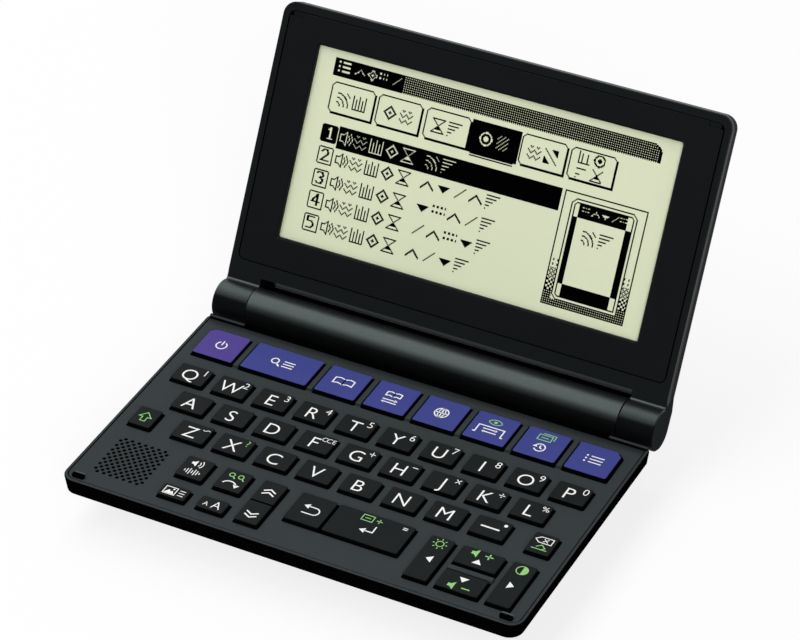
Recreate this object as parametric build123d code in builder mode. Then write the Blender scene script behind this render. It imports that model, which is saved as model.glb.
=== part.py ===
from build123d import *
import math
import os

# A pocket electronic dictionary: a flat keyboard base and a hinged lid with a display.
# Millimetres. X runs along the hinge, +Y from the front edge towards the hinge, +Z up.
# The origin is the middle of the base's underside. The lid stands open at rest.

# Keyboard layout
key_pitch = 10.5          # letter keys, centre to centre along a row
row_pitch = 8.85          # letter rows, centre to centre
letter_key_width = 8.1
letter_key_depth = 6.0
row_overhang = 0.4        # how far the wider rows reach past the top letter row
function_key_depth = 9.55
search_key_width = 16.8
function_key_gap = 2.25
side_key_width = 5.6      # shift and clear
side_key_depth = 6.4
arrow_key_width = 5.6
up_key_width = 10.0
up_key_depth = 5.7
enter_key_width = 18.2
back_key_width = 8.6
enter_key_depth = 9.35
page_key_width = 5.6
small_key_width = 6.6
voice_key_depth = 6.85
figure_key_depth = 3.9
block_depth = 14.3        # the block of control keys in front of the letters
arrow_block_depth = 14.0
column_gap_arrow = 1.9    # gaps between neighbouring columns of that block
column_gap_left = 4.0
column_gap_enter = 0.7
column_gap_back = 3.7
column_gap_page = 2.95
column_gap_grille = 5.2

# Key construction
key_height = 1.0          # key tops above the deck
key_radius = 0.5
key_edge = 0.2
key_travel = 0.4
key_clearance = 0.35      # key to its opening
function_clearance = 0.5
flange_margin = 0.65
function_flange = 0.85
shared_flange = 0.2       # back and enter share one opening, so little flange between them
flange_thickness = 0.6
flange_gap = 0.1          # flange to the deck's underside
press_clearance = 0.05    # left between flange and mat when a key is down
power_corner = 2.0        # rounded and cut corners at the two ends of the function row
menu_corner = 1.4
bar_height = 0.6          # bars between the function keys, and between up and down
bar_edge = 0.12
arrow_bar_width = 1.3
page_slit_width = 0.5
page_slit_depth = 0.6
page_axle_radius = 0.35
page_axle_reach = 0.9

# Base
side_margin = 4.6         # top letter row to the side of the case
front_margin = 3.8
block_gap = 4.2           # control block to the letters
function_gap = 4.55       # letters to the function row
rear_margin = 4.1
base_height = 11.9        # underside to the deck's face
front_corner_radius = 3.2
rear_corner_radius = 1.2
skirt_height = 3.55       # nearly upright part of the base's side
skirt_side_inset = 0.55   # how far that part leans in at the two sides
hull_front_inset = 9.0    # how far the underside is drawn in
hull_side_inset = 5.3
hull_rear_inset = 4.0
case_wall = 1.3
floor_thickness = 1.1
rim_width = 0.8           # edge of the case seen round the deck
rim_edge = 0.35
deck_thickness = 1.2
deck_gap = 0.2
deck_edge = 0.25
ledge_width = 0.9         # raised strips behind the deck's rear corners
ledge_height = 0.6
gutter_web = 0.6          # closes the gutter at the barrel's ends
bumper_width = 2.9
bumper_depth = 1.6
bumper_height = 0.8
bumper_side = 2.5         # bumper to the case's side
bumper_front = 1.3

# Speaker grille
grille_pitch = 1.68
grille_row_pitch = 0.87
grille_hole_radius = 0.45
grille_rows = 15
grille_columns = 8
grille_above_front = 11.5
speaker_radius = 6.5
speaker_depth = 2.8
speaker_cone_radius = 5.2
speaker_cone_depth = 0.8

# Hinge
hinge_behind_deck = 6.6   # deck's rear edge to the hinge axis
hinge_above_deck = 1.0
barrel_radius = 4.9
barrel_wall = 1.0
barrel_end_wall = 1.1
knuckle_radius = 4.8
knuckle_gap = 0.25
knuckle_end_wall = 1.4
knuckle_edge = 0.3
pin_radius = 2.0
pin_clearance = 0.05
pin_inboard = 0.4         # pin standing inside the barrel's end wall
pin_end_gap = 0.2

# Battery bay: two AAA cells end to end
cell_radius = 5.25
cell_length = 44.5
cell_button_radius = 1.9
cell_button_height = 1.1
cell_clearance = 0.1
contact_room = 1.1        # springs and contacts at each end of the pair
bay_wall = 0.9
bay_corner_radius = 4.0
cover_length = 88.0
cover_front_lap = 1.9
cover_rise = 5.0          # how far the cover wraps up the back
cover_seat_thickness = 1.2
cover_clearance = 0.15
cover_grip_width = 8.0
cover_grip_depth = 0.3
cover_grip_pitch = 1.0
cover_grip_count = 4

# Electronics in the base
mat_thickness = 1.0
board_thickness = 1.0
board_margin = 0.6        # round the keys
board_corner_radius = 1.5
speaker_room = 0.8
chip_height = 1.2
chip_size = 12.0
chip_pitch = 24.0
board_front = 4.2
support_rib_width = 1.2
support_rib_length = 70.0
support_rib_y_front = 21.0
support_rib_y_rear = 44.0

# Case screws
screw_shank_radius = 0.65
screw_head_radius = 1.3
screw_head_height = 1.0
screw_head_recess = 1.4
screw_post_radius = 1.25
screw_boss_length = 2.0
screw_slot_width = 0.5
screw_slot_depth = 0.4
screw_hole_clearance = 0.15
front_screw_y = 12.0
side_screw_gap = 0.35     # screw post to the second letter row
screw_foot_radius = 2.4

# Lid
lean_back = 30.26         # degrees from upright at rest
closed_gap = 1.25         # lid's face to the deck when shut
lid_side_inset = 0.25
lid_thickness = 5.2
lid_corner_radius = 3.2
lid_face_edge = 0.3
lid_side_depth = 2.9      # lid's side wall where the knuckles run into it
lid_back_radius = 2.2
lid_wall = 1.1
lid_foot = 5.7            # hinge axis to the lid's lower edge over the barrel
lid_lip_radius = 1.4
crease_radius = 0.6
lid_side_rim = 1.65       # rim round the bezel
lid_top_rim = 1.9
bezel_from_axis = 10.1
bezel_thickness = 1.4
bezel_gap = 0.15
bezel_corner_radius = 1.7
bezel_edge = 0.15
bezel_seat_width = 1.3
window_side_border = 10.3
window_top_border = 8.2
window_from_axis = 17.4
window_corner_radius = 0.5
window_bevel = 0.4
bumper_recess = 0.25
flex_notch_width = 3.4
flex_notch_height = 1.2
flex_notch_depth = 2.6
apron_depth = 2.6         # lid's face to the apron that hugs the barrel
apron_gap = 0.3
apron_reach = 4.1         # hinge axis to the apron's edge, up the lid
knuckle_web_length = 9.5
knuckle_heel = 4.0        # where the knuckle's back is deepest, up the lid
knuckle_heel_depth = 4.95

# Display
glass_side_margin = 2.6
glass_end_margin = 2.4
glass_thickness = 0.8
terminal_ledge = 2.2

# Places worked out from the sizes above
barrel_length = 2 * (cell_length + contact_room + barrel_end_wall)
row_half = 4.5 * key_pitch + letter_key_width / 2
wide_half = row_half + row_overhang
case_width = 2 * (row_half + side_margin)
block_rear = front_margin + block_depth
letters_front = block_rear + block_gap
row_centres = [letters_front + letter_key_depth / 2 + row_pitch * n for n in range(3)]
function_front = row_centres[2] + letter_key_depth / 2 + function_gap
function_rear = function_front + function_key_depth
deck_depth = function_rear + rear_margin
hinge_from_front = deck_depth + hinge_behind_deck
base_depth = hinge_from_front + barrel_radius
front_y = -base_depth / 2
hinge_y = front_y + hinge_from_front
hinge_z = base_height + hinge_above_deck
tray_depth = deck_depth + deck_gap + ledge_width
rim_inset = rim_width + deck_gap

flange_top = -deck_thickness - flange_gap
flange_bottom = flange_top - flange_thickness
mat_top = flange_bottom - key_travel - press_clearance
board_top = mat_top - mat_thickness
board_bottom = board_top - board_thickness
floor_top = floor_thickness - base_height

deck_plane = Plane(origin=(0, front_y, base_height))
lean = math.radians(lean_back)
lid_plane = Plane(
    origin=(0, hinge_y, hinge_z),
    x_dir=(1, 0, 0),
    z_dir=(0, -math.cos(lean), math.sin(lean)),
)
lid_face = hinge_above_deck - closed_gap
lid_back = lid_face - lid_thickness
lid_half = case_width / 2 - lid_side_inset
lid_length = hinge_from_front
window_width = 2 * (lid_half - window_side_border)
window_height = lid_length - window_top_border - window_from_axis


def side_plane(x):
    """Profile plane across the hinge: local X is the way back from the front edge, local Y up."""
    return Plane(origin=(x, front_y, base_height), x_dir=(0, 1, 0), z_dir=(1, 0, 0))


def lid_side_plane(x):
    """Profile plane across the lid: local X runs from the axis up the lid, local Y out of its face."""
    return Plane(
        origin=(x, hinge_y, hinge_z),
        x_dir=(0, math.sin(lean), math.cos(lean)),
        z_dir=(1, 0, 0),
    )


def box_sketch(x_low, x_high, y_low, y_high, mode=Mode.ADD):
    """A rectangle between two corners, in the sketch being drawn."""
    with Locations(((x_low + x_high) / 2, (y_low + y_high) / 2)):
        Rectangle(x_high - x_low, y_high - y_low, mode=mode)


def tray_outline(plane, side, front, rear, front_radius, rear_radius):
    """The base's outline drawn in from its sides, front and rear."""
    with BuildSketch(plane) as outline:
        box_sketch(side - case_width / 2, case_width / 2 - side, front, tray_depth - rear)
        fillet(outline.vertices().group_by(Axis.Y)[0], radius=front_radius)
        fillet(outline.vertices().group_by(Axis.Y)[-1], radius=rear_radius)
    return outline.sketch


def finish(piece, name):
    """Labels a finished piece and writes it."""
    piece.part.label = name
    export_step(piece.part, f"parts/{name}.step")


os.makedirs("parts", exist_ok=True)

# Keys: name, centre across, centre from the front edge, width, depth, side flange and clearance.
keys = []
for letters, row_y in zip(("zxcvbnm-", "asdfghjkl", "qwertyuiop"), row_centres):
    for place, letter in enumerate(letters):
        key_name = "key_dash" if letter == "-" else f"key_{letter}"
        across = (place - (len(letters) - 1) / 2) * key_pitch
        letter_size = (letter_key_width, letter_key_depth, flange_margin, key_clearance)
        keys.append((key_name, across, row_y, *letter_size))

function_names = [
    "power_key", "search_key", "book_key_1", "book_key_2",
    "book_key_3", "switch_key", "history_key", "menu_key",
]
function_key_width = (2 * wide_half - search_key_width - 7 * function_key_gap) / 7
function_middle = (function_front + function_rear) / 2
left_edge = -wide_half
bar_places = []
for key_name in function_names:
    width = search_key_width if key_name == "search_key" else function_key_width
    function_size = (width, function_key_depth, function_flange, function_clearance)
    keys.append((key_name, left_edge + width / 2, function_middle, *function_size))
    left_edge += width + function_key_gap
    bar_places.append((left_edge - function_key_gap / 2, function_middle))

side_key_x = wide_half - side_key_width / 2
for key_name, across in (("shift_key", -side_key_x), ("clear_key", side_key_x)):
    keys.append((key_name, across, row_centres[0], side_key_width, side_key_depth, flange_margin, key_clearance))

right_x = wide_half - arrow_key_width / 2
up_x = right_x - (arrow_key_width + up_key_width) / 2 - column_gap_arrow
left_x = up_x - (arrow_key_width + up_key_width) / 2 - column_gap_arrow
enter_x = left_x - (arrow_key_width + enter_key_width) / 2 - column_gap_left
back_x = enter_x - (enter_key_width + back_key_width) / 2 - column_gap_enter
page_x = back_x - (back_key_width + page_key_width) / 2 - column_gap_back
jump_x = page_x - (page_key_width + small_key_width) / 2 - column_gap_page
voice_x = jump_x - small_key_width - column_gap_page
grille_x = voice_x - small_key_width / 2 - column_gap_grille - (grille_columns - 1) * grille_pitch / 2

arrow_middle = front_margin + arrow_block_depth / 2
upper_arrow = front_margin + arrow_block_depth - up_key_depth / 2
lower_arrow = front_margin + up_key_depth / 2
enter_middle = block_rear - enter_key_depth / 2
voice_middle = block_rear - voice_key_depth / 2
figure_middle = front_margin + figure_key_depth / 2
page_middle = front_margin + block_depth / 2
block_keys = [
    ("left_key", left_x, arrow_middle, arrow_key_width, arrow_block_depth, flange_margin),
    ("right_key", right_x, arrow_middle, arrow_key_width, arrow_block_depth, flange_margin),
    ("up_key", up_x, upper_arrow, up_key_width, up_key_depth, flange_margin),
    ("down_key", up_x, lower_arrow, up_key_width, up_key_depth, flange_margin),
    ("back_key", back_x, enter_middle, back_key_width, enter_key_depth, shared_flange),
    ("enter_key", enter_x, enter_middle, enter_key_width, enter_key_depth, shared_flange),
    ("voice_key", voice_x, voice_middle, small_key_width, voice_key_depth, flange_margin),
    ("jump_key", jump_x, voice_middle, small_key_width, voice_key_depth, flange_margin),
    ("figure_key", voice_x, figure_middle, small_key_width, figure_key_depth, flange_margin),
    ("text_size_key", jump_x, figure_middle, small_key_width, figure_key_depth, flange_margin),
]
for block_key in block_keys:
    keys.append((*block_key, key_clearance))

side_screw_x = 4 * key_pitch + letter_key_width / 2 + flange_margin + side_screw_gap + screw_post_radius
screw_places = [
    (-side_screw_x, row_centres[1]),
    (side_screw_x, row_centres[1]),
    (voice_x - small_key_width / 2 - column_gap_grille / 2, front_screw_y),
    (left_x - (arrow_key_width + column_gap_left + flange_margin - shared_flange) / 2, front_screw_y),
]


def key_outline(plane, key_name, across, along, width, depth):
    """Outline of a key or its opening. The function row's end keys have their outer rear corners cut."""
    with BuildSketch(plane) as outline:
        with Locations((across, along)):
            Rectangle(width, depth)
        corners = [corner.center() for corner in outline.vertices()]
        rear = outline.vertices().group_by(Axis.Y)[-1].sort_by(Axis.X)
        if key_name == "power_key":
            fillet(rear[0], radius=power_corner)
        elif key_name == "menu_key":
            chamfer(rear[-1], length=menu_corner)
        square = [corner for corner in outline.vertices() if corner.center() in corners]
        fillet(square, radius=key_radius)
    return outline.sketch


# Keys that are pressed straight down: a cap through the deck over a wider retaining flange.
for key_name, across, along, width, depth, side_flange, clearance in keys:
    with BuildPart() as key:
        cap = key_outline(deck_plane.offset(flange_bottom), key_name, across, along, width, depth)
        extrude(cap, amount=key_height - flange_bottom)
        fillet(key.faces().sort_by(Axis.Z)[-1].edges(), radius=key_edge)
        with BuildSketch(deck_plane.offset(flange_bottom)):
            with Locations((across, along)):
                Rectangle(width + 2 * side_flange, depth + 2 * flange_margin)
        extrude(amount=flange_thickness)
    finish(key, key_name)

# Page key: one rocker on two short axles, with a slit between its halves.
page_axle_height = -deck_thickness - flange_gap - page_axle_radius
with BuildPart() as page_key:
    with BuildSketch(deck_plane.offset(flange_bottom)):
        with Locations((page_x, page_middle)):
            RectangleRounded(page_key_width, block_depth, key_radius)
    extrude(amount=key_height - flange_bottom)
    fillet(page_key.faces().sort_by(Axis.Z)[-1].edges(), radius=key_edge)
    with BuildSketch(side_plane(page_x - page_key_width / 2)):
        box_sketch(
            page_middle - page_slit_width / 2,
            page_middle + page_slit_width / 2,
            key_height - page_slit_depth,
            key_height,
        )
    extrude(amount=page_key_width, mode=Mode.SUBTRACT)
    with BuildSketch(side_plane(page_x - page_key_width / 2 - page_axle_reach)):
        with Locations((page_middle, page_axle_height)):
            Circle(page_axle_radius)
    extrude(amount=page_key_width + 2 * page_axle_reach)
finish(page_key, "page_key")

# Keyboard deck: the grey top panel with an opening for each key and the speaker grille.
with BuildPart() as keyboard_deck:
    with BuildSketch(deck_plane.offset(-deck_thickness)) as panel:
        box_sketch(rim_inset - case_width / 2, case_width / 2 - rim_inset, rim_inset, deck_depth)
        fillet(panel.vertices().group_by(Axis.Y)[0], radius=front_corner_radius - rim_inset)
    extrude(amount=deck_thickness)
    fillet(keyboard_deck.faces().sort_by(Axis.Z)[-1].edges(), radius=deck_edge)
    for key_name, across, along, width, depth, side_flange, clearance in keys:
        opening = key_outline(
            deck_plane.offset(-deck_thickness),
            key_name,
            across,
            along,
            width + 2 * clearance,
            depth + 2 * clearance,
        )
        extrude(opening, amount=deck_thickness, mode=Mode.SUBTRACT)
    with BuildSketch(deck_plane.offset(-deck_thickness)):
        with Locations((page_x, page_middle)):
            RectangleRounded(page_key_width + 2 * key_clearance, block_depth + 2 * key_clearance, key_radius)
        # back and enter stand in one opening
        box_sketch(
            back_x,
            enter_x,
            enter_middle - enter_key_depth / 2 - key_clearance,
            enter_middle + enter_key_depth / 2 + key_clearance,
        )
        # up and down stand in one opening
        box_sketch(
            up_x - up_key_width / 2 - key_clearance,
            up_x + up_key_width / 2 + key_clearance,
            lower_arrow,
            upper_arrow,
        )
    extrude(amount=deck_thickness, mode=Mode.SUBTRACT)
    # raised bars between the function keys, and one across the opening of up and down
    with BuildSketch(deck_plane):
        with Locations(*bar_places[:-1]):
            Rectangle(function_key_gap - 2 * function_clearance, function_key_depth)
    extrude(amount=bar_height)
    with BuildSketch(deck_plane.offset(-deck_thickness)):
        with Locations((up_x, arrow_middle)):
            Rectangle(up_key_width + 2 * key_clearance, arrow_bar_width)
    extrude(amount=deck_thickness + bar_height)
    fillet(keyboard_deck.faces().filter_by(Axis.Z).group_by(Axis.Z)[-1].edges(), radius=bar_edge)
    with BuildSketch(deck_plane.offset(-deck_thickness)):
        for grille_row in range(grille_rows):
            holes = grille_columns - 1 + grille_row % 2
            row_y = grille_above_front + (grille_row - (grille_rows - 1) / 2) * grille_row_pitch
            with Locations((grille_x, row_y)):
                with GridLocations(grille_pitch, grille_pitch, holes, 1):
                    Circle(grille_hole_radius)
    extrude(amount=deck_thickness, mode=Mode.SUBTRACT)
    with BuildSketch(deck_plane):
        for side in (-1, 1):
            bumper_x = side * (case_width / 2 - bumper_side - bumper_width / 2)
            with Locations((bumper_x, bumper_front + bumper_depth / 2)):
                RectangleRounded(bumper_width, bumper_depth, bumper_depth / 4)
    extrude(amount=bumper_height)
    fillet(keyboard_deck.faces().filter_by(Axis.Z).group_by(Axis.Z)[-1].edges(), radius=key_edge)
    with BuildSketch(deck_plane.offset(-deck_thickness)):
        with Locations(*screw_places):
            Circle(screw_post_radius)
    extrude(amount=-screw_boss_length)
    with BuildSketch(deck_plane.offset(-deck_thickness - screw_boss_length)):
        with Locations(*screw_places):
            Circle(screw_shank_radius)
    extrude(amount=screw_boss_length, mode=Mode.SUBTRACT)
finish(keyboard_deck, "keyboard_deck")

# Battery bay across the base, under and behind the hinge axis.
cell_y = base_depth - bay_wall - cell_clearance - cell_radius
cell_z = -base_height + bay_wall + cell_clearance + cell_radius
bay_radius = cell_radius + cell_clearance
bay_half = barrel_length / 2 - barrel_end_wall
bay_front = cell_y - bay_radius
cover_front = bay_front - cover_front_lap
cover_seat_top = bay_wall + cover_clearance + cover_seat_thickness - base_height


def cover_profile(grow, plane):
    """Section of the battery cover: flat below, wrapped up the back. It can be grown for its recess."""
    with BuildSketch(plane) as profile:
        box_sketch(cover_front - grow, base_depth, -base_height, cover_rise - base_height + grow)
        lowest = profile.vertices().group_by(Axis.Y)[0]
        fillet(lowest.sort_by(Axis.X)[-1], radius=bay_corner_radius)
        with BuildSketch(mode=Mode.PRIVATE) as hollow:
            box_sketch(
                cover_front - 2 * grow - bay_wall,
                base_depth - bay_wall - grow,
                bay_wall + grow - base_height,
                cover_rise - base_height + 2 * grow + bay_wall,
            )
            lowest = hollow.vertices().group_by(Axis.Y)[0]
            fillet(lowest.sort_by(Axis.X)[-1], radius=bay_corner_radius - bay_wall - grow)
        add(hollow.sketch_local, mode=Mode.SUBTRACT)
    return profile.sketch


# Lower case: tray with drawn-in underside, rim round the deck, hinge barrel and battery bay.
wall_inset = rim_width + case_wall
floor_share = (base_height - floor_thickness - skirt_height) / (base_height - skirt_height)
ledge_length = (case_width - barrel_length) / 2 - rim_width
with BuildPart() as lower_case:
    rim_outline = tray_outline(deck_plane, 0, 0, 0, front_corner_radius, rear_corner_radius)
    skirt_outline = tray_outline(
        deck_plane.offset(-skirt_height), skirt_side_inset, 0, 0, front_corner_radius, rear_corner_radius
    )
    underside_outline = tray_outline(
        deck_plane.offset(-base_height),
        hull_side_inset,
        hull_front_inset,
        hull_rear_inset,
        front_corner_radius + hull_side_inset,
        rear_corner_radius + hull_rear_inset,
    )
    loft([skirt_outline, rim_outline])
    loft([skirt_outline, underside_outline])
    fillet(lower_case.faces().sort_by(Axis.Z)[-1].edges(), radius=rim_edge)
    # pocket for the deck, then the room below it
    with BuildSketch(deck_plane.offset(-deck_thickness)) as pocket:
        box_sketch(rim_width - case_width / 2, case_width / 2 - rim_width, rim_width, deck_depth + deck_gap)
        fillet(pocket.vertices().group_by(Axis.Y)[0], radius=front_corner_radius - rim_width)
    extrude(amount=deck_thickness, mode=Mode.SUBTRACT)
    room_outline = tray_outline(
        deck_plane.offset(-skirt_height),
        wall_inset + skirt_side_inset,
        wall_inset,
        wall_inset,
        case_wall,
        rear_corner_radius,
    )
    floor_outline = tray_outline(
        deck_plane.offset(floor_top),
        hull_side_inset * floor_share + skirt_side_inset * (1 - floor_share) + wall_inset,
        hull_front_inset * floor_share + wall_inset,
        hull_rear_inset * floor_share + wall_inset,
        case_wall + hull_side_inset * floor_share,
        rear_corner_radius + hull_rear_inset * floor_share,
    )
    extrude(room_outline, amount=skirt_height - deck_thickness, mode=Mode.SUBTRACT)
    loft([room_outline, floor_outline], mode=Mode.SUBTRACT)
    # gutter between the deck and the barrel
    with BuildSketch(side_plane(-barrel_length / 2)):
        box_sketch(deck_depth, tray_depth, -skirt_height, 0)
    extrude(amount=barrel_length, mode=Mode.SUBTRACT)
    # raised ledges in front of the lid's knuckles
    with BuildSketch(deck_plane.offset(-deck_thickness)):
        for side in (-1, 1):
            with Locations((side * (barrel_length + ledge_length) / 2, tray_depth - ledge_width / 2)):
                Rectangle(ledge_length, ledge_width)
    extrude(amount=deck_thickness + ledge_height)
    fillet(lower_case.faces().filter_by(Axis.Z).group_by(Axis.Z)[-1].edges().filter_by(Axis.X), radius=key_edge)
    # webs between ledges and barrel, which close the gutter's ends
    for web_start in (-barrel_length / 2, barrel_length / 2 - gutter_web):
        with BuildSketch(side_plane(web_start)):
            box_sketch(deck_depth + deck_gap, hinge_from_front, -deck_thickness, ledge_height)
        extrude(amount=gutter_web)
    # barrel and bay, solid first
    with BuildSketch(side_plane(-barrel_length / 2)) as housing:
        box_sketch(cover_front - bay_wall, base_depth, -base_height, cell_z)
        fillet(housing.vertices().group_by(Axis.Y)[0].sort_by(Axis.X)[-1], radius=bay_corner_radius)
        box_sketch(cover_front - 2 * bay_wall, bay_front - bay_wall, cover_seat_top, cell_z, Mode.SUBTRACT)
        box_sketch(hinge_from_front, base_depth, cell_z, hinge_above_deck)
        box_sketch(bay_front - bay_wall, deck_depth, cell_z, -deck_thickness)
        with Locations((cell_y, cell_z)):
            Circle(bay_radius + bay_wall)
        with Locations((hinge_from_front, hinge_above_deck)):
            Circle(barrel_radius)
    extrude(amount=barrel_length)
    # the bay and the hollow of the barrel above it
    with BuildSketch(side_plane(-bay_half)) as bay:
        box_sketch(bay_front, base_depth - bay_wall, bay_wall - base_height, cell_z)
        fillet(bay.vertices().group_by(Axis.Y)[0].sort_by(Axis.X)[-1], radius=bay_corner_radius - bay_wall)
        with Locations((cell_y, cell_z)):
            Circle(bay_radius)
        with Locations((hinge_from_front, hinge_above_deck)):
            Circle(barrel_radius - barrel_wall)
    extrude(amount=2 * bay_half, mode=Mode.SUBTRACT)
    cover_seat = cover_profile(cover_clearance, side_plane(-cover_length / 2 - cover_clearance))
    extrude(cover_seat, amount=cover_length + 2 * cover_clearance, mode=Mode.SUBTRACT)
    with BuildSketch(side_plane(-barrel_length / 2)):
        with Locations((hinge_from_front, hinge_above_deck)):
            Circle(pin_radius)
    extrude(amount=barrel_length, mode=Mode.SUBTRACT)
    # ribs that carry the board, and posts for the case screws
    with BuildSketch(deck_plane.offset(floor_top)):
        for rib_y in (support_rib_y_front, support_rib_y_rear):
            with Locations((0, rib_y)):
                Rectangle(support_rib_length, support_rib_width)
    extrude(amount=board_bottom - floor_top)
    with BuildSketch(deck_plane.offset(floor_top)):
        with Locations(*screw_places):
            Circle(screw_post_radius)
    extrude(amount=-deck_thickness - screw_boss_length - floor_top)
    with BuildSketch(deck_plane.offset(floor_top)):
        with Locations(*screw_places):
            Circle(screw_foot_radius)
    extrude(amount=screw_head_recess)
    with BuildSketch(deck_plane.offset(-base_height)):
        with Locations(*screw_places):
            Circle(screw_head_radius + screw_hole_clearance)
    extrude(amount=screw_head_recess, mode=Mode.SUBTRACT)
    with BuildSketch(deck_plane.offset(-base_height)):
        with Locations(*screw_places):
            Circle(screw_shank_radius + screw_hole_clearance)
    extrude(amount=base_height - deck_thickness - screw_boss_length, mode=Mode.SUBTRACT)
finish(lower_case, "lower_case")

# Battery cover, with a patch of grip grooves under its rear edge.
with BuildPart() as battery_cover:
    extrude(cover_profile(0, side_plane(-cover_length / 2)), amount=cover_length)
    with BuildSketch(deck_plane.offset(-base_height)):
        with Locations((0, cell_y)):
            with GridLocations(cover_grip_width, cover_grip_pitch, 1, cover_grip_count):
                SlotOverall(cover_grip_width, cover_grip_pitch / 2)
    extrude(amount=cover_grip_depth, mode=Mode.SUBTRACT)
finish(battery_cover, "battery_cover")

# Batteries: two cells end to end.
with BuildPart() as batteries:
    for cell_start in (-cell_length, 0):
        with BuildSketch(side_plane(cell_start)):
            with Locations((cell_y, cell_z)):
                Circle(cell_radius)
        extrude(amount=cell_length - cell_button_height)
        with BuildSketch(side_plane(cell_start)):
            with Locations((cell_y, cell_z)):
                Circle(cell_button_radius)
        extrude(amount=cell_length)
finish(batteries, "batteries")


def board_outline(plane, front):
    """The outline shared by the key mat and the board, notched round the speaker, with post holes."""
    with BuildSketch(plane) as outline:
        box_sketch(-wide_half - board_margin, wide_half + board_margin, front, function_rear + board_margin)
        fillet(outline.vertices(), radius=board_corner_radius)
        box_sketch(
            -case_width / 2,
            grille_x + speaker_radius + speaker_room,
            0,
            grille_above_front + speaker_radius + speaker_room,
            Mode.SUBTRACT,
        )
        with Locations(*screw_places):
            Circle(screw_post_radius + speaker_room / 2, mode=Mode.SUBTRACT)
    return outline.sketch


# Key mat: the rubber sheet that the keys press on.
with BuildPart() as key_mat:
    extrude(board_outline(deck_plane.offset(board_top), front_margin - board_margin), amount=mat_thickness)
finish(key_mat, "key_mat")

# Main board, with its chips underneath.
with BuildPart() as main_board:
    extrude(board_outline(deck_plane.offset(board_bottom), board_front), amount=board_thickness)
    with BuildSketch(deck_plane.offset(board_bottom)):
        with Locations((0, (support_rib_y_front + support_rib_y_rear) / 2)):
            with GridLocations(chip_pitch, chip_pitch, 3, 1):
                Rectangle(chip_size, chip_size)
    extrude(amount=-chip_height)
finish(main_board, "main_board")

# Speaker, face up under the grille.
with BuildPart() as speaker:
    with BuildSketch(deck_plane.offset(-deck_thickness)):
        with Locations((grille_x, grille_above_front)):
            Circle(speaker_radius)
    extrude(amount=-speaker_depth)
    with BuildSketch(deck_plane.offset(-deck_thickness)):
        with Locations((grille_x, grille_above_front)):
            Circle(speaker_cone_radius)
    extrude(amount=-speaker_cone_depth, mode=Mode.SUBTRACT)
finish(speaker, "speaker")

# Case screws, driven up from the underside into the deck's bosses.
with BuildPart() as case_screws:
    with BuildSketch(deck_plane.offset(screw_head_recess - screw_head_height - base_height)):
        with Locations(*screw_places):
            Circle(screw_head_radius)
    extrude(amount=screw_head_height)
    with BuildSketch(deck_plane.offset(screw_head_recess - base_height)):
        with Locations(*screw_places):
            Circle(screw_shank_radius)
    extrude(amount=base_height - screw_head_recess - deck_thickness - key_clearance)
    with BuildSketch(deck_plane.offset(screw_head_recess - screw_head_height - base_height)):
        for turn in (0, 90):
            with Locations(*screw_places):
                Rectangle(screw_head_radius, screw_slot_width, rotation=turn)
    extrude(amount=screw_slot_depth, mode=Mode.SUBTRACT)
finish(case_screws, "case_screws")

# Hinge pins: one in each end wall of the barrel, turning in the lid's knuckles.
knuckle_start = barrel_length / 2 + knuckle_gap
with BuildPart() as hinge_pins:
    pin_end = lid_half - knuckle_end_wall - pin_end_gap
    for pin_start in (bay_half - pin_inboard, -pin_end):
        with BuildSketch(side_plane(pin_start)):
            with Locations((hinge_from_front, hinge_above_deck)):
                Circle(pin_radius)
        extrude(amount=pin_end - bay_half + pin_inboard)
finish(hinge_pins, "hinge_pins")

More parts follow.
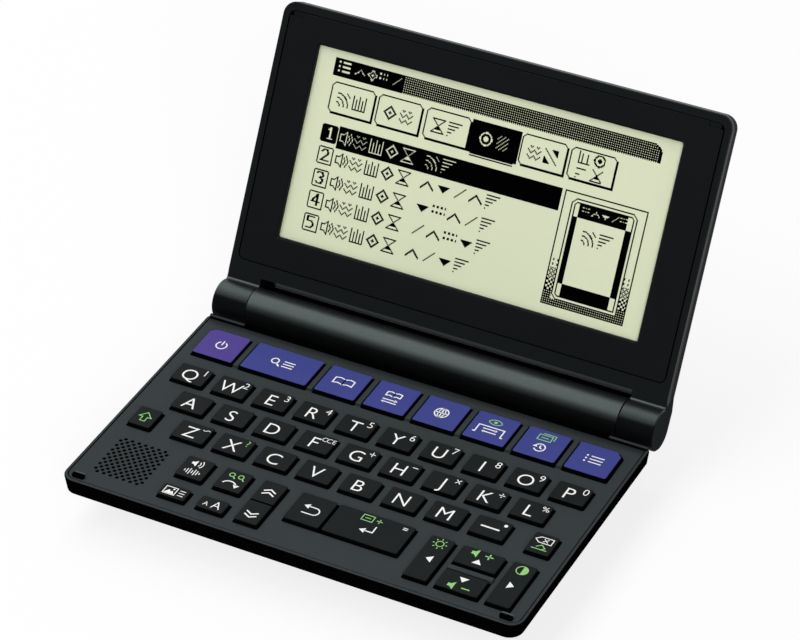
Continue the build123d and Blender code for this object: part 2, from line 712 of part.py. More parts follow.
# Lid cover: the lid's back and sides, the rim round its face and the two hinge knuckles.
out_of_face = Axis((0, 0, 0), lid_plane.z_dir)
up_the_lid = Axis((0, 0, 0), lid_plane.y_dir)
pocket_half = lid_half - lid_side_rim
pocket_top = lid_length - lid_top_rim
with BuildPart() as lid_cover:
    with BuildSketch(lid_plane.offset(lid_back)) as outline:
        box_sketch(-lid_half, lid_half, lid_foot, lid_length)
        fillet(outline.vertices().group_by(Axis.Y)[-1], radius=lid_corner_radius)
    extrude(amount=lid_thickness)
    back_edges = lid_cover.faces().sort_by(out_of_face)[0].edges().sort_by(up_the_lid)
    fillet(back_edges[1:], radius=lid_back_radius)
    face_edges = lid_cover.faces().sort_by(out_of_face)[-1].edges().sort_by(up_the_lid)
    fillet(face_edges[0], radius=lid_lip_radius)
    face_edges = lid_cover.faces().sort_by(out_of_face)[-1].edges().sort_by(up_the_lid)
    fillet(face_edges[1:], radius=lid_face_edge)
    for side in (-1, 1):
        with BuildSketch(lid_side_plane(side * (lid_half - knuckle_edge))) as knuckle:
            with BuildLine():
                Polyline(
                    (0, -knuckle_radius),
                    (knuckle_heel, -knuckle_heel_depth),
                    (knuckle_web_length, lid_face - lid_side_depth),
                    (knuckle_web_length, lid_face),
                    (0, lid_face),
                    close=True,
                )
            make_face()
            Circle(knuckle_radius)
            fillet(knuckle.vertices().sort_by_distance((knuckle_radius, lid_face, 0))[0], radius=crease_radius)
        extrude(amount=side * (knuckle_start + knuckle_edge - lid_half))
        extrude(knuckle.sketch, amount=side * knuckle_edge, taper=45)
    # apron behind the lower edge, hollowed to follow the barrel
    with BuildSketch(lid_side_plane(-knuckle_start)):
        with BuildLine():
            Polyline(
                (lid_foot + lid_lip_radius, lid_face - apron_depth),
                (apron_reach, lid_face - apron_depth),
                (apron_reach, -math.sqrt((barrel_radius + apron_gap) ** 2 - apron_reach ** 2)),
                (barrel_radius + apron_gap, lid_back),
                (lid_foot + lid_lip_radius, lid_back),
                close=True,
            )
        make_face()
        Circle(barrel_radius + apron_gap, mode=Mode.SUBTRACT)
    extrude(amount=2 * knuckle_start)
    with BuildSketch(lid_plane.offset(lid_face - bezel_thickness)):
        with Locations((0, (bezel_from_axis + pocket_top) / 2)):
            RectangleRounded(2 * pocket_half, pocket_top - bezel_from_axis, bezel_corner_radius)
    extrude(amount=bezel_thickness, mode=Mode.SUBTRACT)
    with BuildSketch(lid_plane.offset(lid_back + lid_wall)):
        box_sketch(
            bezel_seat_width - pocket_half,
            pocket_half - bezel_seat_width,
            bezel_from_axis + bezel_seat_width,
            pocket_top - bezel_seat_width,
        )
    extrude(amount=lid_thickness - lid_wall - bezel_thickness, mode=Mode.SUBTRACT)
    # notch where the display's ribbon leaves the lid
    with BuildSketch(lid_plane.offset(lid_face - flex_notch_depth)):
        box_sketch(
            -knuckle_start,
            flex_notch_width - knuckle_start,
            lid_foot - flex_notch_height,
            lid_foot + flex_notch_height,
        )
    extrude(amount=flex_notch_depth, mode=Mode.SUBTRACT)
    bore_end = lid_half - knuckle_end_wall
    for bore_start in (knuckle_start, -bore_end):
        with BuildSketch(lid_side_plane(bore_start)):
            Circle(pin_radius + pin_clearance)
        extrude(amount=bore_end - knuckle_start, mode=Mode.SUBTRACT)
finish(lid_cover, "lid_cover")

# Lid bezel: the inset front panel with the window opening.
with BuildPart() as lid_bezel:
    with BuildSketch(lid_plane.offset(lid_face - bezel_thickness)):
        with Locations((0, (bezel_from_axis + pocket_top) / 2)):
            RectangleRounded(
                2 * (pocket_half - bezel_gap),
                pocket_top - bezel_from_axis - 2 * bezel_gap,
                bezel_corner_radius - bezel_gap,
            )
    extrude(amount=bezel_thickness)
    fillet(lid_bezel.faces().sort_by(out_of_face)[-1].edges(), radius=bezel_edge)
    with BuildSketch(lid_plane.offset(lid_face - bezel_thickness)):
        with Locations((0, window_from_axis + window_height / 2)):
            RectangleRounded(window_width, window_height, window_corner_radius)
    extrude(amount=bezel_thickness, mode=Mode.SUBTRACT)
    rim_edges = lid_bezel.faces().sort_by(out_of_face)[-1].inner_wires().edges()
    chamfer(rim_edges, length=window_bevel)
    recess_start = case_width / 2 - bumper_side - bumper_width - key_clearance
    with BuildSketch(lid_plane.offset(lid_face - bumper_recess)):
        for side in (-1, 1):
            recess_low = lid_length - bumper_front - bumper_depth - key_clearance
            box_sketch(
                min(side * recess_start, side * lid_half),
                max(side * recess_start, side * lid_half),
                recess_low,
                lid_length,
            )
    extrude(amount=bumper_recess, mode=Mode.SUBTRACT)
finish(lid_bezel, "lid_bezel")

# Display panel: two glasses, the rear one longer at the bottom for its contacts.
glass_middle = window_from_axis + window_height / 2
glass_front = lid_face - bezel_thickness
glass_height = window_height + 2 * glass_end_margin
with BuildPart() as lcd_panel:
    with BuildSketch(lid_plane.offset(glass_front - glass_thickness)):
        with Locations((0, glass_middle)):
            Rectangle(window_width + 2 * glass_side_margin, glass_height)
    extrude(amount=glass_thickness)
    with BuildSketch(lid_plane.offset(glass_front - 2 * glass_thickness)):
        with Locations((0, glass_middle - terminal_ledge / 2)):
            Rectangle(window_width + 2 * glass_side_margin, glass_height + terminal_ledge)
    extrude(amount=glass_thickness)
finish(lcd_panel, "lcd_panel")
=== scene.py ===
"""Looks of a pocket electronic dictionary: moulded plastics, printed legends and a dot-matrix display."""

import math

import bpy
import numpy as np
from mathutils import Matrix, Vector


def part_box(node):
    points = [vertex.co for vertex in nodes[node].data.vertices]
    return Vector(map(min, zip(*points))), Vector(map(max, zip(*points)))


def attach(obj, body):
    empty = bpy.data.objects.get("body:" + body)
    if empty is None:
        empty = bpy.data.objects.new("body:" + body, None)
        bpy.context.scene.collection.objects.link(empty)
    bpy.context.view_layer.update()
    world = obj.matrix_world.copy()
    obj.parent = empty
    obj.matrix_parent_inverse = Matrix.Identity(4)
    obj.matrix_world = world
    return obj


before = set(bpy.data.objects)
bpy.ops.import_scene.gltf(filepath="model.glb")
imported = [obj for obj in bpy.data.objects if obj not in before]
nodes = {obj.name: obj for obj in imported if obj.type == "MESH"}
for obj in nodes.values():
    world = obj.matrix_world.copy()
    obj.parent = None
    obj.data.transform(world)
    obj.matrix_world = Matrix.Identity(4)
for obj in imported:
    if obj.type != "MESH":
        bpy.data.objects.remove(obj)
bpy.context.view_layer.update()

MM = 0.001

# Sizes of the dictionary that the printing and the display need, in millimetres
DECK_TOP = 11.9
KEY_HEIGHT = 1.0
INK_LIFT = 0.012
HINGE_Y = 32.95
HINGE_Z = 12.9
CAP_TOP = DECK_TOP + KEY_HEIGHT
BUMPER_REAR = -34.6
LEDGE_FRONT = 26.55       # the raised strips behind the deck's rear corners
LEDGE_REAR = 27.45
BARREL_FRONT = 28.05
KNUCKLE_START = 46.95     # from the middle, just past the barrel's end
LID_HALF = 55.65
LID_LEAN = math.radians(30.26)
LID_FACE = 0.25           # behind the hinge axis, along the lid's normal
LIP_TOP = 7.1             # end of the rounding below the lid's face, from the hinge axis up the lid
POCKET_HALF = 54.0        # the lid's pocket for the bezel
POCKET_FOOT = 10.1
POCKET_TOP = 68.9
GLASS_DEPTH = -1.65       # display glass behind the hinge axis, along the lid's normal
DOT_LIFT = 0.02
WINDOW_BOTTOM = 17.4      # from the hinge axis up the lid
DOT_PITCH = 0.255


# ---------------------------------------------------------------- materials

def linear(hex_colour):
    """sRGB hex to the linear colour that a shader socket takes."""
    channels = [int(hex_colour[i:i + 2], 16) / 255 for i in (1, 3, 5)]
    straight = [c / 12.92 if c <= 0.04045 else ((c + 0.055) / 1.055) ** 2.4 for c in channels]
    return (*straight, 1.0)


def add_node(tree, kind, settings=(), sockets=(), links=()):
    """Adds one shader node, sets its properties and sockets, and links its inputs."""
    made = tree.nodes.new(kind)
    for name, value in dict(settings).items():
        setattr(made, name, value)
    for name, value in dict(sockets).items():
        made.inputs[name].default_value = value
    for name, source in dict(links).items():
        tree.links.new(source, made.inputs[name])
    return made


def new_material(name):
    """A new material with its node tree, its shader and the coordinates that its patterns use."""
    made = bpy.data.materials.new(name)
    made.use_nodes = True
    tree = made.node_tree
    return made, tree, tree.nodes["Principled BSDF"], add_node(tree, "ShaderNodeTexCoord")


def moulded_plastic(name, colour, worn, roughness, grain_mm, grain_depth, blotch_mm=9.0, specular=0.5):
    """Injection-moulded plastic: a spark-eroded grain as bump and polish, with a slow drift of tone."""
    made, tree, shader, place = new_material(name)
    drift = add_node(
        tree, "ShaderNodeTexNoise", {},
        {"Scale": 1 / (blotch_mm * MM), "Detail": 3.0, "Roughness": 0.55},
        {"Vector": place.outputs["Object"]},
    )
    grain = add_node(
        tree, "ShaderNodeTexNoise", {},
        {"Scale": 1 / (grain_mm * MM), "Detail": 2.0, "Roughness": 0.6},
        {"Vector": place.outputs["Object"]},
    )
    tone = add_node(
        tree, "ShaderNodeMix", {"data_type": "RGBA"},
        {"A": linear(colour), "B": linear(worn)},
        {"Factor": drift.outputs["Fac"]},
    )
    polish = add_node(
        tree, "ShaderNodeMapRange", {},
        {"From Min": 0.3, "From Max": 0.7, "To Min": roughness - 0.04, "To Max": roughness + 0.05},
        {"Value": grain.outputs["Fac"]},
    )
    bump = add_node(
        tree, "ShaderNodeBump", {},
        {"Strength": 0.35, "Distance": grain_depth * MM},
        {"Height": grain.outputs["Fac"]},
    )
    tree.links.new(tone.outputs["Result"], shader.inputs["Base Color"])
    tree.links.new(polish.outputs["Result"], shader.inputs["Roughness"])
    tree.links.new(bump.outputs["Normal"], shader.inputs["Normal"])
    shader.inputs["IOR"].default_value = 1.5
    shader.inputs["Specular IOR Level"].default_value = specular
    return made


def turned_steel(name, colour, roughness, ring_mm):
    """Plated or turned steel: fine scratches as bump over a bright metal."""
    made, tree, shader, place = new_material(name)
    scratches = add_node(
        tree, "ShaderNodeTexNoise", {},
        {"Scale": 1 / (ring_mm * MM), "Detail": 4.0},
        {"Vector": place.outputs["Object"]},
    )
    polish = add_node(
        tree, "ShaderNodeMapRange", {},
        {"To Min": roughness - 0.08, "To Max": roughness + 0.1},
        {"Value": scratches.outputs["Fac"]},
    )
    bump = add_node(
        tree, "ShaderNodeBump", {},
        {"Strength": 0.2, "Distance": 0.01 * MM},
        {"Height": scratches.outputs["Fac"]},
    )
    shader.inputs["Base Color"].default_value = linear(colour)
    shader.inputs["Metallic"].default_value = 1.0
    tree.links.new(polish.outputs["Result"], shader.inputs["Roughness"])
    tree.links.new(bump.outputs["Normal"], shader.inputs["Normal"])
    return made


def printed_ink(name, colour, thin, roughness=0.5, specular=0.3):
    """Pad-printed ink: an even film whose cover thins a little from place to place."""
    made, tree, shader, place = new_material(name)
    cover = add_node(
        tree, "ShaderNodeTexNoise", {},
        {"Scale": 1 / (0.6 * MM), "Detail": 2.0},
        {"Vector": place.outputs["Object"]},
    )
    tone = add_node(
        tree, "ShaderNodeMix", {"data_type": "RGBA"},
        {"A": linear(colour), "B": linear(thin)},
        {"Factor": cover.outputs["Fac"]},
    )
    tree.links.new(tone.outputs["Result"], shader.inputs["Base Color"])
    shader.inputs["Roughness"].default_value = roughness
    shader.inputs["Specular IOR Level"].default_value = specular
    return made


# Directions that limits are measured along: the frame's own, and two from the hinge axis at the resting lid.
DIRECTIONS = {
    "X": (1, 0, 0), "Y": (0, 1, 0), "Z": (0, 0, 1),
    "behind_lid": (0, math.cos(LID_LEAN), -math.sin(LID_LEAN)),
    "up_lid": (0, math.sin(LID_LEAN), math.cos(LID_LEAN)),
}


def where(tree, limits):
    """1 inside the given limits and 0 outside.

    Each limit is an axis, a side, a value in mm and, where the edge is soft, the width over which it fades.
    """
    place = add_node(tree, "ShaderNodeTexCoord")
    inside = None
    for axis, side, value, *fade in limits:
        direction = DIRECTIONS[axis.strip("|")]
        if "lid" in axis:
            value += HINGE_Y * direction[1] + HINGE_Z * direction[2]
        source = add_node(
            tree, "ShaderNodeVectorMath", {"operation": "DOT_PRODUCT"}, {1: direction},
            {0: place.outputs["Object"]},
        ).outputs["Value"]
        if axis[0] == "|":
            source = add_node(tree, "ShaderNodeMath", {"operation": "ABSOLUTE"}, {}, {0: source}).outputs[0]
        if fade:
            ends = (value - fade[0] / 2) * MM, (value + fade[0] / 2) * MM
            if side == "LESS_THAN":
                ends = ends[::-1]
            test = add_node(
                tree, "ShaderNodeMapRange", {}, {"From Min": ends[0], "From Max": ends[1]}, {"Value": source},
            ).outputs["Result"]
        else:
            test = add_node(
                tree, "ShaderNodeMath", {"operation": side}, {1: value * MM}, {0: source},
            ).outputs[0]
        if inside is not None:
            test = add_node(
                tree, "ShaderNodeMath", {"operation": "MULTIPLY"}, {}, {0: inside, 1: test},
            ).outputs[0]
        inside = test
    return inside


def paint_over(made, limits, light, dark, drift_mm=7.0):
    """Lays a second, slightly drifting colour over a moulded plastic inside some limits."""
    tree = made.node_tree
    shader = tree.nodes["Principled BSDF"]
    below = shader.inputs["Base Color"].links[0].from_socket
    place = add_node(tree, "ShaderNodeTexCoord")
    drift = add_node(
        tree, "ShaderNodeTexNoise", {}, {"Scale": 1 / (drift_mm * MM), "Detail": 3.0},
        {"Vector": place.outputs["Object"]},
    )
    paint = add_node(
        tree, "ShaderNodeMix", {"data_type": "RGBA"}, {"A": linear(light), "B": linear(dark)},
        {"Factor": drift.outputs["Fac"]},
    )
    both = add_node(
        tree, "ShaderNodeMix", {"data_type": "RGBA"}, {},
        {"Factor": where(tree, limits), "A": below, "B": paint.outputs["Result"]},
    )
    tree.links.new(both.outputs["Result"], shader.inputs["Base Color"])
    return made


def gloss_where(made, limits, specular):
    """Gives a moulded plastic another gloss inside some limits, where its tool was eroded otherwise."""
    tree = made.node_tree
    level = tree.nodes["Principled BSDF"].inputs["Specular IOR Level"]
    sources = {"Factor": where(tree, limits)}
    if level.links:
        sources["A"] = level.links[0].from_socket
    blend = add_node(
        tree, "ShaderNodeMix", {"data_type": "FLOAT"}, {"A": level.default_value, "B": specular}, sources,
    )
    tree.links.new(blend.outputs["Result"], level)
    return made


DECK_GREY = ("#2F3436", "#33383A")
# Near-black: the bumpers' own black rubber, and painted shade on walls, grooves, the apron and below the
# deck.
BLACK_AND_PAINTED_SHADE = ("#020202", "#030303")
# Black ABS, spark-eroded tool: a soft satin that lights up along the knuckles and their creases. Its sides
# fade towards the back. The knuckles' ends and lower halves, the bezel's groove and the apron are dull; the
# ends are painted lighter grey as painted light, and the groove and apron black as painted shade.
lid_abs = moulded_plastic("black_abs_satin", "#08090A", "#0B0C0D", 0.36, 0.45, 0.02, specular=0.2)
gloss_where(lid_abs, [("behind_lid", "LESS_THAN", LID_FACE + 0.07)], 0.08)
knuckle_front = [("|X", "GREATER_THAN", KNUCKLE_START + 0.05), ("behind_lid", "LESS_THAN", LID_FACE - 0.01)]
gloss_where(lid_abs, knuckle_front, 0.35)
gloss_where(lid_abs, knuckle_front + [("up_lid", "GREATER_THAN", 4.75)], 0.6)
gloss_where(lid_abs, knuckle_front + [("Z", "LESS_THAN", 16.85, 1.2)], 0.02)
gloss_where(lid_abs, [("behind_lid", "GREATER_THAN", 1.1, 1.8), ("behind_lid", "LESS_THAN", 4.7, 0.9)], 0.015)
knuckle_end_painted_light = [("|X", "GREATER_THAN", LID_HALF - 0.03), ("up_lid", "LESS_THAN", 7.5)]
# The knuckles' ends are painted a lighter grey and have no gloss: painted light in place of the light they
# catch.
paint_over(lid_abs, knuckle_end_painted_light, "#222526", "#272A2B")
gloss_where(lid_abs, knuckle_end_painted_light, 0.0)
over_barrel = ("|X", "LESS_THAN", KNUCKLE_START - 0.01)
# The lip over the barrel is painted lighter, a painted highlight along its rounding, except at the ribbon's
# notch.
lip = [
    over_barrel, ("X", "GREATER_THAN", -43.0), ("behind_lid", "LESS_THAN", 1.0),
    ("up_lid", "LESS_THAN", LIP_TOP - 0.12),
]
paint_over(lid_abs, lip, "#303334", "#343738")
apron_painted_shade = [over_barrel, ("behind_lid", "GREATER_THAN", 1.9), ("up_lid", "LESS_THAN", 8.0)]
pocket_wall_painted_shade = [
    ("|X", "LESS_THAN", POCKET_HALF + 0.08), ("behind_lid", "GREATER_THAN", LID_FACE + 0.03),
    ("behind_lid", "LESS_THAN", 4.9), ("up_lid", "GREATER_THAN", POCKET_FOOT - 0.08),
    ("up_lid", "LESS_THAN", POCKET_TOP + 0.08),
]
# The apron and the walls of the bezel's pocket are painted near-black and dull: painted shade.
for limits in (apron_painted_shade, pocket_wall_painted_shade):
    paint_over(lid_abs, limits, *BLACK_AND_PAINTED_SHADE)
    gloss_where(lid_abs, limits, 0.0)
# The base is the same black plastic: below the deck it is painted darker and dull, as painted shade, and it
# is dull on its barrel's lower front. Its rim and the ledges' front crests are painted grey.
case_abs = moulded_plastic("black_abs_base", "#060707", "#090A0A", 0.36, 0.45, 0.02, specular=0.44)
rim = [("Z", "GREATER_THAN", DECK_TOP - 0.05), ("Y", "LESS_THAN", LEDGE_FRONT - 0.05)]
paint_over(case_abs, rim, *DECK_GREY)
gloss_where(case_abs, [("Y", "LESS_THAN", HINGE_Y + 0.05), ("Z", "LESS_THAN", 16.0, 1.8)], 0.03)
ledge_top = [("Z", "GREATER_THAN", DECK_TOP + 0.4), ("Y", "LESS_THAN", LEDGE_REAR + 0.05)]
gloss_where(case_abs, ledge_top + [("Y", "GREATER_THAN", LEDGE_FRONT + 0.55)], 0.0)
paint_over(case_abs, ledge_top + [("Y", "LESS_THAN", LEDGE_FRONT + 0.5)], "#2E3234", "#323638")
# Below the deck the skirts are painted near-black and dull: painted shade.
below_deck_painted_shade = [
    ("Z", "LESS_THAN", DECK_TOP - 0.05), ("Y", "LESS_THAN", BARREL_FRONT + 0.25), ("Z", "GREATER_THAN", 0.5),
]
paint_over(case_abs, below_deck_painted_shade, *BLACK_AND_PAINTED_SHADE)
gloss_where(case_abs, below_deck_painted_shade, 0.0)
# Both covers' shine is tinted faintly cool: a painted tint of the lamps' cool light.
for shiny in (lid_abs, case_abs):
    shiny.node_tree.nodes["Principled BSDF"].inputs["Specular Tint"].default_value = (0.82, 1.0, 1.0, 1.0)
# The lid's inset panel has a finer grain, so it looks a little smoother than the cover. Its edges and walls
# are painted black and dull: painted shade in the groove round it.
bezel_abs = moulded_plastic("black_abs_fine", "#0C0E10", "#0F1112", 0.4, 0.35, 0.015, specular=0.04)
bezel_side_painted_shade = [("|X", "GREATER_THAN", POCKET_HALF - 0.32)]
bezel_wall_painted_shade = [("behind_lid", "GREATER_THAN", LID_FACE + 0.05), ("|X", "GREATER_THAN", POCKET_HALF - 1)]
for limits in (bezel_side_painted_shade, bezel_wall_painted_shade):
    paint_over(bezel_abs, limits, *BLACK_AND_PAINTED_SHADE)
    gloss_where(bezel_abs, limits, 0.0)
# Key caps: black ABS, a little lighter on the top face; the sides are darker and dull, painted shade.
key_abs = moulded_plastic(
    "black_key_abs", "#040505", "#060707", 0.5, 0.5, 0.012, blotch_mm=5.0, specular=0.05,
)
paint_over(key_abs, [("Z", "GREATER_THAN", CAP_TOP - 0.07)], "#0E1213", "#121617", 5.0)
gloss_where(key_abs, [("Z", "LESS_THAN", CAP_TOP - 0.2)], 0.0)


def coloured_cap(name, light, dark):
    """A cap whose top is printed out to its edge; below the top it is black and dull, painted shade on its
    sides.
    """
    made = moulded_plastic(name, "#040505", "#060606", 0.5, 0.5, 0.012, blotch_mm=5.0, specular=0.06)
    paint_over(made, [("Z", "GREATER_THAN", CAP_TOP - 0.1)], light, dark)
    return gloss_where(made, [("Z", "LESS_THAN", CAP_TOP - 0.15)], 0.0)


blue_abs = coloured_cap("blue_topped_abs", "#393F81", "#3F458A")
violet_abs = coloured_cap("violet_topped_abs", "#493B84", "#50428F")
# Deck: dull grey paint over ABS, with painted shade along the barrel and in its holes and key wells. The two
# bumpers in its front corners are black, with a painted highlight along their rear edge.
deck_abs = moulded_plastic("grey_painted_abs", *DECK_GREY, 0.55, 0.5, 0.012, blotch_mm=7.0, specular=0.05)
# The walls of the deck's holes and key openings are painted near-black and dull: painted shade in the
# recesses.
deck_wall_painted_shade = [("Z", "LESS_THAN", DECK_TOP - 0.15)]
paint_over(deck_abs, deck_wall_painted_shade, "#050606", "#080909")
gloss_where(deck_abs, deck_wall_painted_shade, 0.0)
bumper = [("Z", "GREATER_THAN", DECK_TOP + 0.03), ("Y", "LESS_THAN", BUMPER_REAR)]
paint_over(deck_abs, bumper, *BLACK_AND_PAINTED_SHADE)
# The bumpers' rear strip is painted lighter: a painted highlight along their rear edge.
paint_over(deck_abs, bumper + [("Y", "GREATER_THAN", BUMPER_REAR - 0.95)], "#4A4E50", "#505456")
gloss_where(deck_abs, bumper, 0.0)
# Painted shadow: the deck darkens towards the barrel.
paint_over(deck_abs, [("Y", "GREATER_THAN", 25.1, 2.4)], "#15181A", "#181B1C")
# Hidden pieces, seen where the base is open: green board, matt grey rubber, glossy blue cell sleeves, a black
# speaker frame, bright screws and pins.
board_laminate = moulded_plastic("glass_epoxy_board", "#1F5A34", "#286B3E", 0.45, 0.3, 0.01)
silicone = moulded_plastic("grey_silicone_rubber", "#7E8284", "#86898B", 0.7, 0.3, 0.02)
cell_sleeve = moulded_plastic("printed_cell_sleeve", "#2B3F8C", "#33479A", 0.3, 1.5, 0.005)
speaker_frame = moulded_plastic("black_lacquered_steel", "#090909", "#0D0D0D", 0.5, 0.3, 0.01, specular=0.1)
screw_steel = turned_steel("zinc_plated_steel", "#A8ABB0", 0.32, 0.2)
pin_steel = turned_steel("ground_steel", "#B9BCC0", 0.22, 0.1)
# Reflective liquid crystal: pale yellow-green, very even, under a matt polariser.
lcd_pale = moulded_plastic(
    "liquid_crystal_reflector", "#D6DCBD", "#D2D8B9", 0.35, 0.3, 0.002, blotch_mm=25.0, specular=0.1,
)
# Its dark dots are a flat black without shine.
lcd_dark = printed_ink("liquid_crystal_dots", "#010101", "#030304", 0.6, 0.0)
# Pad-printed legends: even, matt white and light green.
white_ink = printed_ink("white_pad_print", "#F4F4F2", "#E8E8E6")
green_ink = printed_ink("green_pad_print", "#8FCB78", "#84BE6E")

finish_of = {
    "lower_case": case_abs,
    "lid_cover": lid_abs,
    "battery_cover": case_abs,
    "lid_bezel": bezel_abs,
    "keyboard_deck": deck_abs,
    "batteries": cell_sleeve,
    "main_board": board_laminate,
    "key_mat": silicone,
    "speaker": speaker_frame,
    "case_screws": screw_steel,
    "hinge_pins": pin_steel,
    "lcd_panel": lcd_pale,
    "power_key": violet_abs,
}
function_keys = [
    "search_key", "book_key_1", "book_key_2", "book_key_3", "switch_key", "history_key", "menu_key",
]
for key in function_keys:
    finish_of[key] = blue_abs
for name, piece in nodes.items():
    piece.data.materials.clear()
    piece.data.materials.append(finish_of.get(name, key_abs))


# ---------------------------------------------------------------- flat shapes for printing

def ribbon(points, width, closed=False):
    """A stroke of even width: each point is moved half a width to both sides along the mitred normal."""
    line = np.array(points, float)
    ahead = np.roll(line, -1, 0) - line
    behind = line - np.roll(line, 1, 0)
    if not closed:
        ahead[-1] = behind[-1]
        behind[0] = ahead[0]
    ahead /= np.linalg.norm(ahead, axis=1, keepdims=True)
    behind /= np.linalg.norm(behind, axis=1, keepdims=True)
    tangent = ahead + behind
    tangent /= np.linalg.norm(tangent, axis=1, keepdims=True)
    normal = np.stack([-tangent[:, 1], tangent[:, 0]], 1)
    spread = width / 2 / np.clip((tangent * ahead).sum(1), 0.4, 1)
    places = np.concatenate([line + normal * spread[:, None], line - normal * spread[:, None]])
    count = len(line)
    ends = range(count if closed else count - 1)
    faces = [(i, i + count, (i + 1) % count + count, (i + 1) % count) for i in ends]
    return places, faces


def arc(x, y, radius, start, end, steps=24):
    """Points round a centre from one angle to another, in degrees."""
    turn = np.radians(np.linspace(start, end, steps))
    return np.stack([x + radius * np.cos(turn), y + radius * np.sin(turn)], 1)


def patch(points):
    """A filled outline with straight sides."""
    return np.array(points, float), [tuple(range(len(points)))]


def disc(x, y, radius):
    """A filled circle of thirty-two sides."""
    return patch(arc(x, y, radius, 0, 348.75, 32))


def ring(x, y, radius, width):
    """A circle drawn as a stroke."""
    return ribbon(arc(x, y, radius, 0, 345, 24), width, closed=True)


def moved(shape, x, y, scale=1.0):
    """A flat shape scaled about its origin and then shifted."""
    places, faces = shape
    return places * scale + np.array([x, y]), faces


INK_THINNING = 0.008      # strokes a little lighter than the font's, as a share of its size


def lettering(words, height, x, y):
    """A printed word or sign, scaled to a cap height and centred on a point."""
    curve = bpy.data.curves.new("lettering", "FONT")
    curve.body = words
    curve.resolution_u = 6
    curve.offset = -INK_THINNING
    holder = bpy.data.objects.new("lettering", curve)
    bpy.context.scene.collection.objects.link(holder)
    bpy.context.view_layer.update()
    mesh = bpy.data.meshes.new_from_object(holder)
    places = np.zeros(len(mesh.vertices) * 3)
    mesh.vertices.foreach_get("co", places)
    places = places.reshape(-1, 3)[:, :2]
    faces = [tuple(face.vertices) for face in mesh.polygons]
    bpy.data.objects.remove(holder)
    bpy.data.curves.remove(curve)
    bpy.data.meshes.remove(mesh)
    middle = (places.max(0) + places.min(0)) / 2
    places = (places - np.array([middle[0], CAP_HEIGHT / 2])) * (height / CAP_HEIGHT)
    return places + np.array([x, y]), faces


def cap_height():
    """Height of a flat-topped capital in the font's own units."""
    curve = bpy.data.curves.new("cap", "FONT")
    curve.body = "H"
    holder = bpy.data.objects.new("cap", curve)
    bpy.context.scene.collection.objects.link(holder)
    bpy.context.view_layer.update()
    height = holder.dimensions.y
    bpy.data.objects.remove(holder)
    bpy.data.curves.remove(curve)
    return height


CAP_HEIGHT = cap_height()


def print_on(name, body, layers, origin, across, along, lift_direction, lift):
    """Lays flat shapes on a face, one ink per layer.

    place = origin + x * across + y * along + lift * lift_direction
    """
    corners, faces, inks = [], [], []
    start = 0
    for slot_number, (_, shapes) in enumerate(layers):
        for places, outline in shapes:
            corners.append(places)
            faces += [tuple(index + start for index in face) for face in outline]
            inks += [slot_number] * len(outline)
            start += len(places)
    flat = np.concatenate(corners)
    solid = origin + flat[:, :1] * across + flat[:, 1:] * along + lift * lift_direction
    mesh = bpy.data.meshes.new(name)
    mesh.from_pydata((solid * MM).tolist(), [], faces)
    mesh.polygons.foreach_set("material_index", np.array(inks, np.int32))
    for ink, _ in layers:
        mesh.materials.append(ink)
    mesh.update()
    piece = bpy.data.objects.new(name, mesh)
    bpy.context.scene.collection.objects.link(piece)
    # every face is turned to look along the lift direction
    normals = np.zeros(len(mesh.polygons) * 3)
    mesh.polygons.foreach_get("normal", normals)
    away = normals.reshape(-1, 3) @ lift_direction < 0
    if away.any():
        flipped = [tuple(reversed(face)) if turn else face for face, turn in zip(faces, away)]
        mesh.clear_geometry()
        mesh.from_pydata((solid * MM).tolist(), [], flipped)
        mesh.polygons.foreach_set("material_index", np.array(inks, np.int32))
        mesh.update()
    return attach(piece, body)


EAST = np.array([1.0, 0.0, 0.0])
NORTH = np.array([0.0, 1.0, 0.0])
UP = np.array([0.0, 0.0, 1.0])


def key_middle(key):
    """Middle of a key's top face, in millimetres."""
    low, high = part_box(key)
    return np.array([(low.x + high.x) / 2, (low.y + high.y) / 2, high.z]) / MM


def print_key(key, white=(), green=()):
    """Prints a key's legend on its top face."""
    layers = [(ink, shapes) for ink, shapes in ((white_ink, white), (green_ink, green)) if len(shapes)]
    print_on(f"legend_{key}", key, layers, key_middle(key), EAST, NORTH, UP, INK_LIFT)


def chevron(x, y, half, rise, width):
    """An open V pointing up, or down where the rise is negative."""
    return ribbon([(x - half, y - rise / 2), (x, y + rise / 2), (x + half, y - rise / 2)], width)


def horn(x, y, size):
    """A loudspeaker's side outline: a block with a cone."""
    outline = [(-1, -0.35), (-0.5, -0.35), (0.15, -0.95), (0.15, 0.95), (-0.5, 0.35), (-1, 0.35)]
    return moved(patch(outline), x, y, size)


def arrow(start, end, head, width):
    """A straight arrow: a stroke that stops at the middle of a triangular head."""
    start, end = np.array(start, float), np.array(end, float)
    along = (end - start) / np.linalg.norm(end - start)
    side = np.array([-along[1], along[0]])
    neck = end - along * head
    barb = side * head * 0.6
    return [ribbon([start, neck + along * head * 0.3], width), patch([neck + barb, neck - barb, end])]


def magnifier(x, y, size, width):
    """A ring with a handle down to the right."""
    near, far = 0.55 * size, 1.35 * size
    return [ring(x, y, 0.75 * size, width), ribbon([(x + near, y - near), (x + far, y - far)], width * 1.3)]


def open_book(x, y, half, height, width):
    """Two pages that meet at a spine."""
    left = [(0, -0.35), (-0.5, -0.15), (-1, -0.3), (-1, 0.7), (-0.5, 0.85), (0, 0.65)]
    page = np.array(left) * np.array([half, height])
    return [ribbon(page * np.array([side, 1]) + np.array([x, y]), width, closed=True) for side in (1, -1)]


